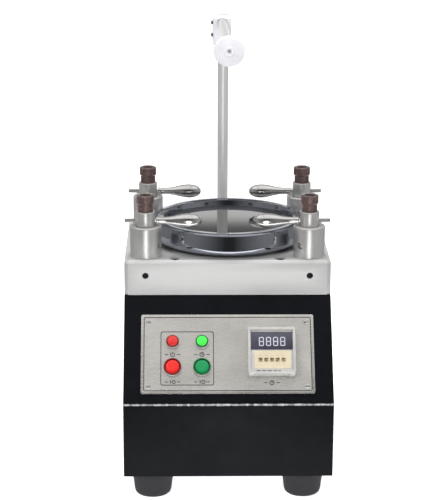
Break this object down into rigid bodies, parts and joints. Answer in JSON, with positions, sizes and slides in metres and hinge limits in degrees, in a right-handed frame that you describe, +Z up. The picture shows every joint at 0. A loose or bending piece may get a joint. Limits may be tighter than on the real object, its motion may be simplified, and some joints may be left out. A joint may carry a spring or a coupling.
{
  "type": "fibre connector polishing machine",
  "caption": "Bench polishing machine: black cabinet with sloping control panel, alloy top block, orbiting round chromed platen, corner pressure posts with handles, and a cable stand.",
  "frame": {"origin": "centre of the machine's footprint, on the surface that it stands on", "axes": "+Z up, +X to the operator's right, -Y towards the operator, who faces the sloping panel"},
  "size_m": [0.21, 0.2561, 0.4641],
  "materials": {
    "cabinet_paint": "satin black powder coat, finely textured",
    "zinc_steel": "zinc plated, dull",
    "dark_plastic": "fine spark-eroded texture",
    "foot_rubber": "soft black rubber, slight sheen",
    "plate_steel": "brushed across its length",
    "red_lens": "glossy translucent lens",
    "green_lens": "glossy translucent lens",
    "red_cap": "glossy moulded cap",
    "green_cap": "glossy moulded cap",
    "timer_bezel": "pale moulded bezel with a clear cover",
    "timer_cream": "cream faceplate",
    "timer_wheel": "moulded digit wheel",
    "block_aluminium": "machined, fine tool marks",
    "platen_chrome": "polished and hard chromed",
    "mirror_face": "ground glass-flat and polished",
    "gear_steel": "turned and hobbed, oiled",
    "belt_rubber": "moulded rubber",
    "motor_paint": "matt dark paint",
    "post_steel": "turned stainless steel",
    "handle_chrome": "polished and plated",
    "knob_bronze": "dark bronze finish, knurled flange",
    "rod_steel": "ground and polished bar",
    "white_plastic": "machined white acetal",
    "screw_steel": "blackened screw"
  },
  "bodies": {
    "base": {"housing_shell": "cabinet_paint", "rear_panel": "cabinet_paint", "base_plate": "zinc_steel", "motor_bracket": "zinc_steel", "power_supply": "zinc_steel", "power_inlet": "dark_plastic", "power_button_ring": "dark_plastic", "timer_button_ring": "dark_plastic", "foot_front_left": "foot_rubber", "foot_front_right": "foot_rubber", "foot_rear_left": "foot_rubber", "foot_rear_right": "foot_rubber", "control_plate": "plate_steel", "power_lamp": "red_lens", "timer_lamp": "green_lens", "timer_case": "timer_bezel", "timer_face": "timer_cream", "top_block": "block_aluminium", "rod_bracket": "block_aluminium", "spindle_housing": "block_aluminium", "ring_gear": "gear_steel", "upper_bearing": "gear_steel", "lower_bearing": "gear_steel", "drive_belt": "belt_rubber", "post_base_front_left": "post_steel", "post_base_front_right": "post_steel", "post_base_rear_left": "post_steel", "post_base_rear_right": "post_steel", "motor": "motor_paint"},
    "crank": {"crank_spindle": "gear_steel", "spindle_pulley": "zinc_steel", "eccentric_bearing": "gear_steel"},
    "platen": {"platen": "platen_chrome", "mirror_plate": "mirror_face", "platen_shaft": "gear_steel"},
    "motor_rotor": {"motor_pulley": "zinc_steel"},
    "head_front_left": {"post_head_front_left": "post_steel", "lever_front_left": "handle_chrome"},
    "knob_front_left": {"knob_front_left": "knob_bronze"},
    "head_front_right": {"post_head_front_right": "post_steel", "lever_front_right": "handle_chrome"},
    "knob_front_right": {"knob_front_right": "knob_bronze"},
    "head_rear_left": {"post_head_rear_left": "post_steel", "lever_rear_left": "handle_chrome"},
    "knob_rear_left": {"knob_rear_left": "knob_bronze"},
    "head_rear_right": {"post_head_rear_right": "post_steel", "lever_rear_right": "handle_chrome"},
    "knob_rear_right": {"knob_rear_right": "knob_bronze"},
    "power_button": {"power_button": "red_cap"},
    "timer_button": {"timer_button": "green_cap"},
    "timer_wheel_1": {"timer_wheel_1": "timer_wheel"},
    "timer_wheel_2": {"timer_wheel_2": "timer_wheel"},
    "timer_wheel_3": {"timer_wheel_3": "timer_wheel"},
    "timer_wheel_4": {"timer_wheel_4": "timer_wheel"},
    "timer_wheel_5": {"timer_wheel_5": "timer_wheel"},
    "stand_rod": {"stand_rod": "rod_steel"},
    "stand_top": {"stand_clamp": "white_plastic", "stand_arm": "rod_steel", "stand_disc": "white_plastic", "disc_screw": "screw_steel"}
  },
  "joints": [
    {"name": "crank_spin", "type": "hinge", "parent": "base", "child": "crank", "pos_m": [0, 0.024, 0.2], "axis": [0, 0, 1], "continuous": true},
    {"name": "platen_spin", "type": "hinge", "parent": "crank", "child": "platen", "pos_m": [0.0025, 0.024, 0.245], "axis": [0, 0, 1], "continuous": true},
    {"name": "motor_spin", "type": "hinge", "parent": "base", "child": "motor_rotor", "pos_m": [-0.062, 0.024, 0.146], "axis": [0, 0, 1], "continuous": true},
    {"name": "lever_swing_front_left", "type": "hinge", "parent": "base", "child": "head_front_left", "pos_m": [-0.0834, -0.0383, 0.2634], "axis": [0, 0, 1], "range_deg": [-110, 0]},
    {"name": "knob_turn_front_left", "type": "hinge", "parent": "head_front_left", "child": "knob_front_left", "pos_m": [-0.0834, -0.0383, 0.285], "axis": [0, 0, 1], "range_deg": [-720, 720]},
    {"name": "lever_swing_front_right", "type": "hinge", "parent": "base", "child": "head_front_right", "pos_m": [0.0834, -0.0383, 0.2634], "axis": [0, 0, 1], "range_deg": [0, 110]},
    {"name": "knob_turn_front_right", "type": "hinge", "parent": "head_front_right", "child": "knob_front_right", "pos_m": [0.0834, -0.0383, 0.285], "axis": [0, 0, 1], "range_deg": [-720, 720]},
    {"name": "lever_swing_rear_left", "type": "hinge", "parent": "base", "child": "head_rear_left", "pos_m": [-0.0834, 0.0863, 0.2634], "axis": [0, 0, 1], "range_deg": [0, 110]},
    {"name": "knob_turn_rear_left", "type": "hinge", "parent": "head_rear_left", "child": "knob_rear_left", "pos_m": [-0.0834, 0.0863, 0.285], "axis": [0, 0, 1], "range_deg": [-720, 720]},
    {"name": "lever_swing_rear_right", "type": "hinge", "parent": "base", "child": "head_rear_right", "pos_m": [0.0834, 0.0863, 0.2634], "axis": [0, 0, 1], "range_deg": [-110, 0]},
    {"name": "knob_turn_rear_right", "type": "hinge", "parent": "head_rear_right", "child": "knob_rear_right", "pos_m": [0.0834, 0.0863, 0.285], "axis": [0, 0, 1], "range_deg": [-720, 720]},
    {"name": "power_button_press", "type": "slide", "parent": "base", "child": "power_button", "axis": [0, 0.8016, -0.5979], "range_m": [0, 0.0025], "stiffness_N_per_m": 400, "springref_m": -0.001},
    {"name": "timer_button_press", "type": "slide", "parent": "base", "child": "timer_button", "axis": [0, 0.8016, -0.5979], "range_m": [0, 0.0025], "stiffness_N_per_m": 400, "springref_m": -0.001},
    {"name": "timer_wheel_1_turn", "type": "hinge", "parent": "base", "child": "timer_wheel_1", "pos_m": [0.03184, -0.10586, 0.13988], "axis": [1, 0, 0], "continuous": true},
    {"name": "timer_wheel_2_turn", "type": "hinge", "parent": "base", "child": "timer_wheel_2", "pos_m": [0.03757, -0.10586, 0.13988], "axis": [1, 0, 0], "continuous": true},
    {"name": "timer_wheel_3_turn", "type": "hinge", "parent": "base", "child": "timer_wheel_3", "pos_m": [0.0433, -0.10586, 0.13988], "axis": [1, 0, 0], "continuous": true},
    {"name": "timer_wheel_4_turn", "type": "hinge", "parent": "base", "child": "timer_wheel_4", "pos_m": [0.04903, -0.10586, 0.13988], "axis": [1, 0, 0], "continuous": true},
    {"name": "timer_wheel_5_turn", "type": "hinge", "parent": "base", "child": "timer_wheel_5", "pos_m": [0.05476, -0.10586, 0.13988], "axis": [1, 0, 0], "continuous": true},
    {"name": "stand_turn", "type": "hinge", "parent": "base", "child": "stand_rod", "pos_m": [-0.002, 0.117, 0.23], "axis": [0, 0, 1], "range_deg": [-120, 120]},
    {"name": "stand_height", "type": "slide", "parent": "stand_rod", "child": "stand_top", "axis": [0, 0, 1], "range_m": [-0.12, 0]}
  ],
  "couplings": [
    {"joint": "platen_spin", "follows": "crank_spin", "ratio": -1.1111},
    {"joint": "motor_spin", "follows": "crank_spin", "ratio": 2}
  ]
}
